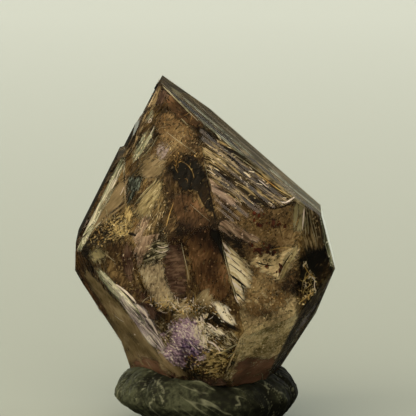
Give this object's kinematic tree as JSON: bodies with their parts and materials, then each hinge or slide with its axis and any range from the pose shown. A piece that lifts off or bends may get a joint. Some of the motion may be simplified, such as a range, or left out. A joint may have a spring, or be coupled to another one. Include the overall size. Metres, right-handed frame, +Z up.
{
  "type": "mineral specimen",
  "caption": "Smoky amethyst scepter crystal with flat faces, grooves and a necked foot, standing in a wad of mineral tack.",
  "frame": {"origin": "on the ground, under the middle of the object's box", "axes": "+Z up, -Y towards the crystal's front ridge, +X to its right with the long sloping face"},
  "size_m": [0.0348, 0.0372, 0.0466],
  "materials": {
    "quartz": "polished",
    "tack": "matte"
  },
  "bodies": {
    "root": {"amethyst_crystal": "quartz", "mineral_tack": "tack"}
  },
  "joints": []
}
